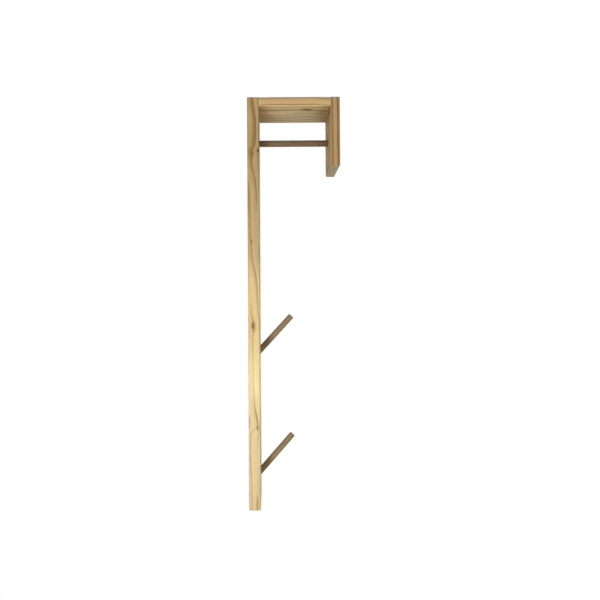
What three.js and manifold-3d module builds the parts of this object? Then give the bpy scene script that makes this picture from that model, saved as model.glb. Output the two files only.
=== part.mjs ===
// A wall mounted clothes valet.
// A tall pine board goes on the wall. A short arm runs forward from its top and
// carries a board that drops from the arm's front end. A round walnut rail for
// coat hangers spans the two uprights, and two round walnut pegs slant up from
// the wall board lower down.
// Lengths are millimetres and angles are degrees. +Z is up, X runs across the
// valet's width, the wall is at +Y and the front faces -Y. The origin is the
// middle of the wall board's back face.

import * as THREE from "three";
import { mergeVertices } from "three/addons/utils/BufferGeometryUtils.js";
import Module from "manifold-3d";

const wasm = await Module();
wasm.setup();

// The whole valet
const overallHeight = 1000;
const overallDepth = 225;
const boardWidth = 140;

// The three boards
const wallThickness = 28.5;
const armThickness = 22;
const dropThickness = 23;
const dropLength = 166.5;

// Rounding of the boards' edges
const arrisRadius = 1.2;
const dropTopRadius = 1.8;
const wallFootRadius = 2.5;
const dropFootRadius = 3;

// Hanging rail
const railDiameter = 16;
const railBelowTop = 95;
const railSeatInWall = 15;
const railSeatInDrop = 12;

// Slanting pegs: a height is where the peg's axis leaves the wall board's front,
// measured from the foot of the board, an angle is the axis's rise above level,
// and a reach is the length that stands out of the board
const pegDiameter = 15;
const pegSeat = 25;
const pegTipRadius = 1;
const upperPegHeight = 384;
const upperPegAngle = 47.4;
const upperPegReach = 116;
const lowerPegHeight = 79;
const lowerPegAngle = 48.7;
const lowerPegReach = 121.5;

// Fluted dowel pins in the two joints of the arm
const dowelDiameter = 8;
const dowelLength = 35;
const dowelSeatInUpright = 14;
const dowelChamfer = 1;
const dowelSpacing = 45;
const dowelSides = ["left", "centre", "right"];
const fluteCount = 16;
const fluteDepth = 0.4;
const fluteWidthShare = 0.45;

// Keyhole plates let into the back of the wall board: the distances run to the
// middle of the plate
const plateLength = 44;
const plateWidth = 16;
const plateThickness = 1.5;
const plateCornerRadius = 3;
const plateSink = 0.2;
const plateBelowTop = 50;
const plateAboveFoot = 150;
const keyholeEntryDiameter = 9.5;
const keyholeSlotWidth = 5;
const keyholeTravel = 9;
const headPocketWidth = 11.5;
const headPocketDepth = 7.5;

// Countersunk screws that hold the plates
const screwSpacing = 34;
const screwLength = 16;
const screwHeadDiameter = 6.6;
const screwHeadRim = 0.4;
const screwHeadTaper = 1.9;
const screwShankDiameter = 3;
const screwPointLength = 3.5;
const crossRecessSpan = 3.6;
const crossRecessWidth = 0.9;
const crossRecessDepth = 1.3;

// Fits
const glueLine = 0.3;
const socketClearance = 0.3;
const socketEndSpace = 0.8;
const cutOverrun = 20;

// Fineness of the round forms
const railSegments = 48;
const boreSegments = 32;
const screwSegments = 24;
const cornerSegments = 4;

// Places worked out from the sizes above
const dropInnerFace = overallDepth - dropThickness;
const armLength = dropInnerFace - wallThickness - 2 * glueLine;
const armMidHeight = overallHeight - armThickness / 2;
const railHeight = overallHeight - railBelowTop;
const dropFootHeight = overallHeight - dropLength;
const dowelSeatInArm = dowelLength - dowelSeatInUpright - glueLine;

const pine = { color: 0xd8bb88, roughness: 0.62, metalness: 0 };
const walnut = { color: 0x7d6450, roughness: 0.55, metalness: 0 };
const beech = { color: 0xcfa878, roughness: 0.7, metalness: 0 };
const zincSteel = { color: 0xb8b9ba, roughness: 0.38, metalness: 1 };

// A closed geometry as a solid that can be cut and joined
function solidOf(geometry) {
  const bare = geometry.clone();
  bare.deleteAttribute("normal");
  bare.deleteAttribute("uv");
  const merged = mergeVertices(bare);
  return new wasm.Manifold(
    new wasm.Mesh({
      numProp: 3,
      vertProperties: merged.attributes.position.array,
      triVerts: new Uint32Array(merged.index.array),
    }),
  );
}

function geometryOf(solid) {
  const { numProp, vertProperties, triVerts } = solid.getMesh();
  const geometry = new THREE.BufferGeometry();
  geometry.setAttribute("position", new THREE.BufferAttribute(vertProperties, numProp));
  geometry.setIndex(new THREE.BufferAttribute(triVerts, 1));
  geometry.computeVertexNormals();
  return geometry;
}

function piece(name, solid, finish) {
  const mesh = new THREE.Mesh(geometryOf(solid), new THREE.MeshStandardMaterial(finish));
  mesh.name = name;
  return mesh;
}

// Turns local +Y, the way a pin or a bore's mouth points, to the valet's front
// and up by an angle in degrees, or to the wall
const towardsFront = (angle = 0) => Math.PI - THREE.MathUtils.degToRad(angle);
const towardsWall = 0;

function placeAt(x, y, z, turn = 0) {
  return new THREE.Matrix4().makeRotationX(turn).setPosition(x, y, z);
}

// A rectangle from (left, bottom) whose corners have their own radii, counted
// from the lower left one, the way that the outline runs
function roundedRectangle(left, bottom, width, height, radii) {
  const right = left + width;
  const top = bottom + height;
  const corners = [
    { x: left, y: bottom, inX: 1, inY: 1 },
    { x: right, y: bottom, inX: -1, inY: 1 },
    { x: right, y: top, inX: -1, inY: -1 },
    { x: left, y: top, inX: 1, inY: -1 },
  ];
  const shape = new THREE.Shape();
  corners.forEach((corner, index) => {
    const radius = radii[index];
    if (radius > 0) {
      const start = Math.PI * (1 + index / 2);
      const centreX = corner.x + corner.inX * radius;
      const centreY = corner.y + corner.inY * radius;
      shape.absarc(centreX, centreY, radius, start, start + Math.PI / 2, false);
    } else if (index === 0) {
      shape.moveTo(corner.x, corner.y);
    } else {
      shape.lineTo(corner.x, corner.y);
    }
  });
  shape.closePath();
  return shape;
}

function extruded(shape, depth, curveSegments) {
  const geometry = new THREE.ExtrudeGeometry(shape, { depth, curveSegments, bevelEnabled: false });
  return geometry.translate(0, 0, -depth / 2);
}

// A board from its back face at y = 0 forward, centred on x = 0, standing on
// z = 0. It is what three rounded outlines have in common: its side view, its
// front view and its plan, so each edge has the rounding of the view it shows in
function roundedBoard(width, thickness, height, { side, front, plan }) {
  const sideShape = roundedRectangle(-thickness, 0, thickness, height, side);
  const frontShape = roundedRectangle(-width / 2, 0, width, height, front);
  const planShape = roundedRectangle(-width / 2, -thickness, width, thickness, plan);
  const sideGeometry = extruded(sideShape, width + cutOverrun, cornerSegments);
  sideGeometry.applyMatrix4(
    new THREE.Matrix4().makeBasis(
      new THREE.Vector3(0, 1, 0),
      new THREE.Vector3(0, 0, 1),
      new THREE.Vector3(1, 0, 0),
    ),
  );
  const frontGeometry = extruded(frontShape, thickness + cutOverrun, cornerSegments);
  frontGeometry.rotateX(Math.PI / 2).translate(0, -thickness / 2, 0);
  const planGeometry = extruded(planShape, height + cutOverrun, cornerSegments);
  planGeometry.translate(0, 0, height / 2);
  return solidOf(sideGeometry).intersect(solidOf(frontGeometry)).intersect(solidOf(planGeometry));
}

// A turned solid from outline points [radius, height], from the bottom of the
// axis to its top
function turned(points, segments) {
  const outline = points.map(([radius, height]) => new THREE.Vector2(radius, height));
  return new THREE.LatheGeometry(outline, segments);
}

// A blind bore as a cutter: its mouth is at the place's origin and its depth
// runs to local -Y
function bore(diameter, depth, place) {
  const length = depth + cutOverrun;
  const geometry = new THREE.CylinderGeometry(diameter / 2, diameter / 2, length, boreSegments);
  geometry.translate(0, cutOverrun - length / 2, 0);
  return solidOf(geometry.applyMatrix4(place));
}

// The socket that a round piece is glued into
function socket(diameter, seat, place) {
  return bore(diameter + 2 * socketClearance, seat + socketEndSpace, place);
}

function cutAll(solid, cutters) {
  return cutters.reduce((left, cutter) => left.subtract(cutter), solid);
}

// Pegs and rail

const pegs = [
  { name: "upper_peg", height: upperPegHeight, angle: upperPegAngle, reach: upperPegReach },
  { name: "lower_peg", height: lowerPegHeight, angle: lowerPegAngle, reach: lowerPegReach },
];

// A peg with its seat below y = 0 and a square-cut tip with an eased rim
function makePeg({ name, height, angle, reach }) {
  const radius = pegDiameter / 2;
  const outline = [
    [0, -pegSeat],
    [radius, -pegSeat],
  ];
  for (let step = 0; step <= cornerSegments; step += 1) {
    const turn = ((step / cornerSegments) * Math.PI) / 2;
    outline.push([
      radius - pegTipRadius * (1 - Math.cos(turn)),
      reach - pegTipRadius * (1 - Math.sin(turn)),
    ]);
  }
  outline.push([0, reach]);
  const peg = piece(name, solidOf(turned(outline, railSegments)), walnut);
  peg.position.set(0, -wallThickness, height);
  peg.rotation.x = towardsFront(angle);
  return peg;
}

function makeRail() {
  const radius = railDiameter / 2;
  const start = -railSeatInWall;
  const end = dropInnerFace - wallThickness + railSeatInDrop;
  const outline = [
    [0, start],
    [radius, start],
    [radius, end],
    [0, end],
  ];
  const rail = piece("hanging_rail", solidOf(turned(outline, railSegments)), walnut);
  rail.position.set(0, -wallThickness, railHeight);
  rail.rotation.x = towardsFront();
  return rail;
}

// Fluted dowel pins

function dowelX(index) {
  return (index - (dowelSides.length - 1) / 2) * dowelSpacing;
}

// The pin's section: round, with shallow grooves that let glue and air past
function flutedSection() {
  const radius = dowelDiameter / 2;
  const pitch = (2 * Math.PI) / fluteCount;
  const fluteHalf = (pitch * fluteWidthShare) / 2;
  const section = new THREE.Shape();
  for (let flute = 0; flute < fluteCount; flute += 1) {
    const middle = flute * pitch;
    const stations = [
      [radius, middle - fluteHalf],
      [radius - fluteDepth, middle],
      [radius, middle + fluteHalf],
    ];
    stations.forEach(([distance, angle], index) => {
      const x = distance * Math.cos(angle);
      const y = distance * Math.sin(angle);
      if (flute === 0 && index === 0) section.moveTo(x, y);
      else section.lineTo(x, y);
    });
  }
  section.closePath();
  return section;
}

// A pin with its seated end at y = -seat, chamfered at both ends
function makeDowel(name, seat) {
  const radius = dowelDiameter / 2;
  const end = dowelLength - seat;
  const barrel = [
    [0, -seat],
    [radius - dowelChamfer, -seat],
    [radius, dowelChamfer - seat],
    [radius, end - dowelChamfer],
    [radius - dowelChamfer, end],
    [0, end],
  ];
  const fluted = extruded(flutedSection(), dowelLength + cutOverrun, cornerSegments);
  fluted.rotateX(Math.PI / 2).translate(0, dowelLength / 2 - seat, 0);
  const shape = solidOf(turned(barrel, boreSegments)).intersect(solidOf(fluted));
  return piece(name, shape, beech);
}

function rearDowels() {
  return dowelSides.map((side, index) => {
    const dowel = makeDowel(`rear_dowel_${side}`, dowelSeatInUpright);
    dowel.position.set(dowelX(index), -wallThickness, armMidHeight);
    dowel.rotation.x = towardsFront();
    return dowel;
  });
}

function frontDowels() {
  return dowelSides.map((side, index) => {
    const dowel = makeDowel(`front_dowel_${side}`, dowelSeatInUpright);
    dowel.position.set(dowelX(index), -dropInnerFace, armMidHeight);
    dowel.rotation.x = towardsWall;
    return dowel;
  });
}

// Sockets for a row of pins, with their mouths in the face at y
function dowelSockets(y, z, seat, turn) {
  return dowelSides.map((side, index) => socket(dowelDiameter, seat, placeAt(dowelX(index), y, z, turn)));
}

// Keyhole plates and their screws

const plates = [
  { name: "upper", height: overallHeight - plateBelowTop },
  { name: "lower", height: plateAboveFoot },
];
const screwEnds = [
  { name: "top", side: 1 },
  { name: "bottom", side: -1 },
];

// The keyhole is centred in its plate: its round entry is below, and its slot
// runs up from there
const keyholeSpan = keyholeEntryDiameter / 2 + keyholeTravel + keyholeSlotWidth / 2;
const entryHeight = keyholeEntryDiameter / 2 - keyholeSpan / 2;
const slotEndHeight = entryHeight + keyholeTravel;

function keyholeOutline() {
  const entryRadius = keyholeEntryDiameter / 2;
  const slotHalf = keyholeSlotWidth / 2;
  const meeting = Math.acos(slotHalf / entryRadius);
  const outline = new THREE.Shape();
  outline.absarc(0, slotEndHeight, slotHalf, 0, Math.PI, false);
  outline.absarc(0, entryHeight, entryRadius, Math.PI - meeting, 2 * Math.PI + meeting, false);
  outline.closePath();
  return outline;
}

// The room that the head of the screw in the wall slides up in
function headPocketOutline() {
  const radius = headPocketWidth / 2;
  const outline = new THREE.Shape();
  outline.absarc(0, slotEndHeight, radius, 0, Math.PI, false);
  outline.absarc(0, entryHeight, radius, Math.PI, 2 * Math.PI, false);
  outline.closePath();
  return outline;
}

function plateOutline(clearance) {
  const width = plateWidth + 2 * clearance;
  const length = plateLength + 2 * clearance;
  const radii = new Array(4).fill(plateCornerRadius + clearance);
  return roundedRectangle(-width / 2, -length / 2, width, length, radii);
}

// An upright outline pushed through the wall board, from y = near to y = far
function throughBack(shape, near, far) {
  const geometry = extruded(shape, far - near, boreSegments / 4);
  return geometry.rotateX(Math.PI / 2).translate(0, (near + far) / 2, 0);
}

// A screw with the top of its head at y = 0, pointing to -Y. Grown by a
// clearance, it is the cutter for its own countersink and pilot hole
function screwOutline(clearance, above) {
  const headRadius = screwHeadDiameter / 2 + clearance;
  const shankRadius = screwShankDiameter / 2 + clearance;
  const headHeight = screwHeadRim + screwHeadTaper;
  return [
    [0, -screwLength - clearance],
    [shankRadius, screwPointLength - screwLength],
    [shankRadius, -headHeight],
    [headRadius, -screwHeadRim],
    [headRadius, above],
    [0, above],
  ];
}

function screwCutter(place) {
  const outline = screwOutline(socketClearance, cutOverrun);
  return solidOf(turned(outline, screwSegments).applyMatrix4(place));
}

function screwPlaces(height, y) {
  return screwEnds.map(({ side }) => placeAt(0, y, height + (side * screwSpacing) / 2));
}

function makePlate({ name, height }) {
  const body = solidOf(throughBack(plateOutline(0), -plateThickness, 0));
  const keyhole = solidOf(throughBack(keyholeOutline(), -plateThickness - cutOverrun, cutOverrun));
  const plate = piece(
    `${name}_hanger_plate`,
    cutAll(body, [keyhole, ...screwPlaces(0, 0).map(screwCutter)]),
    zincSteel,
  );
  plate.position.set(0, -plateSink, height);
  return plate;
}

// The recess for a plate, the pocket behind its keyhole and its screws' holes
function plateCutters({ height }) {
  const recess = throughBack(plateOutline(socketClearance), -plateSink - plateThickness, cutOverrun);
  const pocketFloor = -plateSink - plateThickness - headPocketDepth;
  const pocket = throughBack(headPocketOutline(), pocketFloor, cutOverrun);
  return [
    solidOf(recess.translate(0, 0, height)),
    solidOf(pocket.translate(0, 0, height)),
    ...screwPlaces(height, -plateSink).map(screwCutter),
  ];
}

function makeScrew(plate, end) {
  const arm = new THREE.BoxGeometry(crossRecessSpan, 2 * crossRecessDepth, crossRecessWidth);
  const crossArm = arm.clone().rotateY(Math.PI / 2);
  const screw = piece(
    `${plate.name}_plate_${end.name}_screw`,
    cutAll(solidOf(turned(screwOutline(0, 0), screwSegments)), [solidOf(arm), solidOf(crossArm)]),
    zincSteel,
  );
  screw.position.set(0, -plateSink, plate.height + (end.side * screwSpacing) / 2);
  return screw;
}

// The three boards

function makeWallBoard() {
  const blank = roundedBoard(boardWidth, wallThickness, overallHeight, {
    side: [wallFootRadius, wallFootRadius, arrisRadius, 0],
    front: [wallFootRadius, wallFootRadius, arrisRadius, arrisRadius],
    plan: [arrisRadius, arrisRadius, arrisRadius, arrisRadius],
  });
  const front = -wallThickness;
  const pegSockets = pegs.map(({ height, angle }) =>
    socket(pegDiameter, pegSeat, placeAt(0, front, height, towardsFront(angle))),
  );
  return piece(
    "wall_board",
    cutAll(blank, [
      socket(railDiameter, railSeatInWall, placeAt(0, front, railHeight, towardsFront())),
      ...pegSockets,
      ...dowelSockets(front, armMidHeight, dowelSeatInUpright, towardsFront()),
      ...plates.flatMap(plateCutters),
    ]),
    pine,
  );
}

function makeArm() {
  const blank = roundedBoard(boardWidth, armLength, armThickness, {
    side: [0, 0, 0, 0],
    front: [arrisRadius, arrisRadius, arrisRadius, arrisRadius],
    plan: [0, 0, 0, 0],
  });
  const arm = piece(
    "top_arm",
    cutAll(blank, [
      ...dowelSockets(0, armThickness / 2, dowelSeatInArm, towardsWall),
      ...dowelSockets(-armLength, armThickness / 2, dowelSeatInArm, towardsFront()),
    ]),
    pine,
  );
  arm.position.set(0, -wallThickness - glueLine, overallHeight - armThickness);
  return arm;
}

function makeDrop() {
  const blank = roundedBoard(boardWidth, dropThickness, dropLength, {
    side: [dropFootRadius, dropFootRadius, 0, dropTopRadius],
    front: [dropFootRadius, dropFootRadius, arrisRadius, arrisRadius],
    plan: [arrisRadius, arrisRadius, arrisRadius, arrisRadius],
  });
  const drop = piece(
    "front_drop",
    cutAll(blank, [
      socket(railDiameter, railSeatInDrop, placeAt(0, 0, railHeight - dropFootHeight, towardsWall)),
      ...dowelSockets(0, armMidHeight - dropFootHeight, dowelSeatInUpright, towardsWall),
    ]),
    pine,
  );
  drop.position.set(0, -dropInnerFace, dropFootHeight);
  return drop;
}

// Heights in this group are measured from the foot of the wall board
const fromFoot = new THREE.Group();
fromFoot.position.z = -overallHeight / 2;
fromFoot.add(makeWallBoard(), makeArm(), makeDrop(), makeRail());
fromFoot.add(...pegs.map(makePeg));
fromFoot.add(...rearDowels(), ...frontDowels());
fromFoot.add(...plates.map(makePlate));
fromFoot.add(...plates.flatMap((plate) => screwEnds.map((end) => makeScrew(plate, end))));

const valet = new THREE.Group();
valet.add(fromFoot);

export default valet;
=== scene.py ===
"""The looks of a wall mounted clothes valet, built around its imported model.

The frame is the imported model's: metres, +Z up, the wall at +Y and the front at -Y. A name that ends in
_MM or _mm is in millimetres, and so are all the sizes inside the wood materials, where real grain is sized.
"""

import math
from dataclasses import dataclass

import bmesh
import bpy
import numpy as np
from mathutils import Matrix, Vector, noise


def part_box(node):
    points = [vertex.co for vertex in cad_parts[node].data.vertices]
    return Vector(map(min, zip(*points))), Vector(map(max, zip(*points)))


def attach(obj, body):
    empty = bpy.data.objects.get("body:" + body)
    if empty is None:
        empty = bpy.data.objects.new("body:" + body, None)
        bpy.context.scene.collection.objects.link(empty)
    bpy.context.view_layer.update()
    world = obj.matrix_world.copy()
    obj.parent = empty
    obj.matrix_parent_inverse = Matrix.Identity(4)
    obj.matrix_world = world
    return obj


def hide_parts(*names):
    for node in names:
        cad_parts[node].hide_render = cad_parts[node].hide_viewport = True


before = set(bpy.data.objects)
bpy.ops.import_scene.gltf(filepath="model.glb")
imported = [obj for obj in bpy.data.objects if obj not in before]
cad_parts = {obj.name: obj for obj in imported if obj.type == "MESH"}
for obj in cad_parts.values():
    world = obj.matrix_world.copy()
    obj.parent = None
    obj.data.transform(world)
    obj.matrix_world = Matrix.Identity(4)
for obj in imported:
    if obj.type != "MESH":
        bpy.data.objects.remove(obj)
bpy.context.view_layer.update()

MM = 0.001
AXES = {"x": Vector((1, 0, 0)), "y": Vector((0, 1, 0)), "z": Vector((0, 0, 1))}

# How the photograph was taken: level, side on, at the mid height of the valet
CAMERA_PLACE = (-1.52, -0.0563, 0.0093)
CAMERA_ROLL_DEGREES = 0.32
CAMERA_LENS_MM = 36
SENSOR_MM = 36
CAMERA_SHIFT_X = 0.0479
CAMERA_CLIP = (0.01, 100)

# The soft boxes: name, place, width, height and how bright a white surface that faces each becomes
LAMP_AIM = (0, -0.05, 0)
LAMPS = [
    ("key", (-2.32, 0.90, -0.45), 0.45, 1.6, 0.39),
    ("right", (-2.15, -1.34, 0.10), 0.5, 1.4, 0.19),
    ("low", (-1.65, -0.30, -1.45), 0.9, 0.7, 0.17),
    ("behind", (-0.78, 2.40, 0.10), 0.7, 1.6, 0.09),
    ("front", (1.9, -1.8, 0.40), 1.4, 1.8, 0.56),
    ("back", (0.55, 2.6, 0.20), 1.2, 1.8, 0.50),
    ("top", (-0.4, -0.9, 2.4), 1.5, 1.5, 0.10),
]
AIR_LEVEL = 0.28

# The floor, which is lit below the valet and fades to white around it
FLOOR_HEIGHT = -1.3
FLOOR_SPAN = 24
FLOOR_LIT_RADIUS = 0.55
FLOOR_WHITE_RADIUS = 1.05
FLOOR_GLOW = 0.28
FLOOR_LOOK = {"Base Color": (0.86, 0.86, 0.86, 1), "Roughness": 0.9, "Specular IOR Level": 0.1}

# How far the near, far, front and back side of a board is rounded at its ends, as the source rounds
# them, but softer at the drop's foot
WALL_TOP_MM = (1.2, 1.2, 0, 1.2)
WALL_FOOT_MM = (2.5, 2.5, 2.5, 2.5)
DROP_TOP_MM = (1.2, 1.2, 1.8, 0)
DROP_FOOT_MM = (3.5, 4.0, 3.0, 4.5)
SQUARE_END_MM = (0, 0, 0, 0)

# The arrises along the boards, and how far a planed board strays from true, always inwards
ARRIS_MM = 1.2
ARRIS_CHANGE_SHARE = 0.22
ARRIS_CHANGE_LENGTH_MM = 55
PLANED_WAVE_MM = 0.10
PLANED_WAVE_LENGTH_MM = 90
PLANED_WAVE_FADE_MM = 12

# How finely the meshes are made
BOARD_STEP_MM = 9.0
BOARD_SPANS = (14, 3)
ARRIS_STEPS = 5
ROD_SEGMENTS = 96
BORE_SEGMENTS = 64
SCREW_SEGMENTS = 32
SCREW_ROWS = 150
SHARP_DEGREES = 35

# Rods, and how they and the other fittings sit in the wood
ROD_STEP_MM = 6
ROD_WAVE_MM = 0.06
ROD_WAVE_LENGTH_MM = 35
ROD_ROOT_MM = 0.5
RAIL_TIP_MM = 0.4
PEG_TIP_MM = 2.2
SOCKET_CLEARANCE = 0.3 * MM
SOCKET_END_SPACE = 0.8 * MM
CUT_OVERRUN = 20 * MM

# Keyhole plates
PLATE_CORNER_MM = 3.0
PLATE_EDGE_MM = 0.25
HEAD_POCKET_WIDTH_MM = 11.5
HEAD_POCKET_DEPTH_MM = 7.5
HEAD_POCKET_END_SHARE = 0.87
KEYHOLE_TRAVEL_MM = 9.0

# The screws of the plates
SCREW_SPACING_MM = 34.0
SCREW_LENGTH_MM = 16
SCREW_HEAD_MM = 6.6
SCREW_RIM_MM = 0.4
SCREW_TAPER_MM = 1.9
SCREW_ROOT_MM = 2.3
SCREW_THREAD_MM = 3.4
SCREW_PITCH_MM = 1.3
SCREW_POINT_MM = 3.5
SCREW_TIP_MM = 0.02
SCREW_TIP_GAP_MM = 0.15
THREAD_TOOTH_SHARE = 0.22
THREAD_START_MM = 1.5
CROSS_SPAN_MM = 3.6
CROSS_WIDTH_MM = 0.9
CROSS_DEPTH_MM = 1.3
CROSS_FLOOR_SHARE = 0.55


def rgb(red, green, blue):
    """A colour given as it shows on a screen, 0 to 255, in the linear values that shaders take."""

    def linear(value):
        share = value / 255
        return share / 12.92 if share <= 0.04045 else ((share + 0.055) / 1.055) ** 2.4

    return (linear(red), linear(green), linear(blue), 1.0)


WHITE = (1.0, 1.0, 1.0, 1)

# Oiled pine: resin canals, slow clouds, knots with the wood round them, and two tones of end grain
CANAL_TONE = rgb(104, 72, 38)
CLOUD_TINT = (0.95, 0.92, 0.86, 1)
HALO_TONE = rgb(142, 104, 58)
KNOT_TONE = rgb(158, 125, 61)
RED_KNOT_TONE = rgb(158, 112, 66)
DEAD_KNOT_TONE = rgb(52, 38, 24)
KNOT_RIM_TONE = rgb(74, 50, 28)
WARM_END_GRAIN = (rgb(190, 166, 122), rgb(146, 118, 78))
GREY_END_GRAIN = (rgb(174, 165, 146), rgb(124, 110, 88))

# Unoiled pine beside pine with oil: its paler, cooler colour, partly painted light in its shade, a painted
# highlight on its arrises, painted shade within reach of a corner, and painted shade away from the near edge
BARE_AND_PAINTED_LIGHT_TINT = (1.10, 1.29, 1.62, 1)
PAINTED_ARRIS_HIGHLIGHT = rgb(240, 216, 168)
PAINTED_CORNER_SHADE = (0.75, 0.66, 0.55, 1)
CORNER_REACH_MM = 27.0
PAINTED_FAR_SHADE = (0.74, 0.77, 0.84, 1)

# Each unevenness in pine: its waves to a millimetre, twice across the grain and once along it, then
# its seed, detail and roughness
GRAIN = {
    "slow": ((1 / 55, 1 / 55, 1 / 170), 0, 1.5, 0.5),
    "fine": ((1 / 14, 1 / 14, 1 / 75), 3, 2, 0.5),
    "fibre": ((1.5, 1.5, 0.03), 9, 3, 0.6),
    "streak": ((0.35, 0.35, 0.006), 13, 2, 0.5),
    "canal": ((1.9, 1.9, 0.11), 17, 1, 0.5),
    "cloud": ((1 / 26, 1 / 26, 1 / 80), 21, 3, 0.55),
    "cells": ((2.6, 2.6, 0.5), 25, 4, 0.7),
    "patch": ((1 / 6, 1 / 6, 1 / 30), 29, 3, 0.6),
}

# How far that unevenness moves the rings, the knots, the streaks of tone and the edge of an arris
SLOW_WARP_MM = 16.0
FINE_WARP_MM = 1.5
KNOT_WARP_MM = 2.2
STREAK_SHIFT_MM = 260.0
ARRIS_WARP_MM = 1.6

# Next to its near edge a board's grain is placed, and inland from there it is free
INLAND_MM = 60

# Where the dark late wood lies within one year's ring, as a share of the ring, and where it ends
LATE_WOOD_PLACE = 0.92
LATE_WOOD_END = 0.955

# How far each feature of pine stands proud of the face, or below 0 sinks into it
RELIEF_MM = {
    "late": 0.035, "fibre": 0.030, "canal": -0.040, "rim": -0.050, "open_cells": 0.090, "cloud": 0.15,
}

# Walnut: light and deep tones, open pores, painted shade next to the boards, and the width of its bands
RAIL_TONES = (rgb(137, 112, 85), rgb(94, 70, 50))
PEG_TONES = (rgb(156, 135, 101), rgb(112, 91, 65))
PORE_TONE = rgb(60, 42, 28)
PAINTED_END_SHADE = (0.72, 0.65, 0.64, 1)
WALNUT_BAND_MM = 3.4
WALNUT_WANDER_MM = 9.0

# Beech pins and zinc plating
BEECH_TONE = rgb(206, 166, 122)
BEECH_FLECK_TONE = rgb(140, 96, 60)
BEECH_END_TONE = rgb(170, 132, 92)
ZINC_TONES = (rgb(172, 175, 180), rgb(146, 149, 156))
ZINC_PIT_TONE = rgb(130, 128, 126)


# Meshes


def box_mm(node):
    """The low and the high corner of a CAD node's box, in millimetres."""
    return [[value / MM for value in corner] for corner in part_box(node)]


def new_object(name, bm):
    """A smooth shaded object from bm, with its sharp edges marked."""
    bmesh.ops.remove_doubles(bm, verts=bm.verts, dist=1e-7)
    bmesh.ops.recalc_face_normals(bm, faces=bm.faces)
    mesh = bpy.data.meshes.new(name)
    bm.to_mesh(mesh)
    bm.free()
    mark_sharp(mesh)
    piece = bpy.data.objects.new(name, mesh)
    bpy.context.scene.collection.objects.link(piece)
    return piece


def mark_sharp(mesh):
    """Smooth shading on every face, parted at the edges that turn further than the sharp angle."""
    bm = bmesh.new()
    bm.from_mesh(mesh)
    for face in bm.faces:
        face.smooth = True
    for edge in bm.edges:
        edge.smooth = len(edge.link_faces) == 2 and edge.calc_face_angle(0) < math.radians(SHARP_DEGREES)
    bm.to_mesh(mesh)
    bm.free()


def skin(name, bm, rings):
    """An object whose faces join neighbouring rings of vertices and close the first and the last ring.
    A ring of one vertex is a tip."""
    for first, second in zip(rings, rings[1:]):
        count = max(len(first), len(second))
        for i in range(count):
            j = (i + 1) % count
            a, b = (first[place % len(first)] for place in (i, j))
            c, d = (second[place % len(second)] for place in (j, i))
            bm.faces.new(list(dict.fromkeys((a, b, c, d))))
    for ring in (rings[0], rings[-1]):
        if len(ring) > 1:
            bm.faces.new(ring)
    return new_object(name, bm)


def flatten_normals(piece):
    """Large faces keep a flat normal, so that only the roundings turn the light."""
    modifier = piece.modifiers.new("even faces", "WEIGHTED_NORMAL")
    modifier.keep_sharp = True
    modifier.weight = 80


def rounded_rectangle(low, high, radius, steps, spans=(1, 1)):
    """Points round a rectangle with rounded corners, in order. spans is how often each side is split."""
    left, right, bottom, top = low[0] + radius, high[0] - radius, low[1] + radius, high[1] - radius
    arcs = []
    for p, q, start in ((left, bottom, 180), (right, bottom, 270), (right, top, 0), (left, top, 90)):
        angles = [math.radians(start + 90 * step / steps) for step in range(steps + 1)]
        arcs.append([(p + radius * math.cos(angle), q + radius * math.sin(angle)) for angle in angles])
    points = []
    for index, arc in enumerate(arcs):
        (from_p, from_q), (to_p, to_q) = arc[-1], arcs[(index + 1) % 4][0]
        count = spans[index % 2]
        shares = [span / count for span in range(1, count)]
        points += arc
        points += [(from_p + (to_p - from_p) * share, from_q + (to_q - from_q) * share) for share in shares]
    return points


def end_inset(radius, from_end):
    """How far a rounded end has drawn in, at a distance from the end."""
    if from_end >= radius:
        return 0.0
    return radius - math.sqrt(radius**2 - (radius - from_end) ** 2)


def stations_of(length, start_radii, end_radii):
    """Distances along a board, close together in its rounded ends."""
    start, end = max(start_radii), max(end_radii)
    arc = [1 - math.cos(math.radians(angle)) for angle in range(0, 91, 15)]
    places = [start * share for share in arc] if start else [0.0]
    count = round((length - start - end) / BOARD_STEP_MM)
    places += [start + (length - start - end) * i / count for i in range(1, count)]
    places += [length - end * share for share in reversed(arc)] if end else [length]
    return places


def unevenness(place, wave_length, row, seed):
    """Smooth noise along a board, from -1 to 1, with its own course for each row and seed."""
    return noise.noise(Vector((place / wave_length, row, seed)))


def drawn_in(place, length, start_radii, end_radii, seed):
    """How far each side of a board lies inside the CAD box, at a distance along the board."""
    fade = min(1.0, place / PLANED_WAVE_FADE_MM, (length - place) / PLANED_WAVE_FADE_MM)
    insets = []
    for number, (start, end) in enumerate(zip(start_radii, end_radii)):
        wave = 0.5 + 0.5 * unevenness(place, PLANED_WAVE_LENGTH_MM, number * 7.3, seed)
        ends = end_inset(start, place) + end_inset(end, length - place)
        insets.append(ends + PLANED_WAVE_MM * wave * fade)
    return insets


def make_board(name, grain, start_radii, end_radii, seed):
    """A planed board with rounded arrises, lofted along its grain inside the CAD node's box.
    grain is the axis that the fibres follow, and the start is its low end. The cross-section's sides are
    near (-X), far (+X), front and back: -Y and +Y, or for the arm, whose grain runs along Y, -Z and +Z."""
    low, high = box_mm(name)
    depth = 1 if grain == 2 else 2
    length = high[grain] - low[grain]
    bm = bmesh.new()
    rings = []
    for place in stations_of(length, start_radii, end_radii):
        near, far, front, back = drawn_in(place, length, start_radii, end_radii, seed)
        change = unevenness(place, ARRIS_CHANGE_LENGTH_MM, 3.1, seed + 5)
        section = rounded_rectangle(
            (low[0] + near, low[depth] + front),
            (high[0] - far, high[depth] - back),
            ARRIS_MM * (1 + ARRIS_CHANGE_SHARE * change),
            ARRIS_STEPS,
            BOARD_SPANS,
        )
        ring = []
        for across, through in section:
            point = [across, 0, 0]
            point[depth] = through
            point[grain] = low[grain] + place
            ring.append(bm.verts.new([value * MM for value in point]))
        rings.append(ring)
    return skin(name + "_board", bm, rings)


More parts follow.
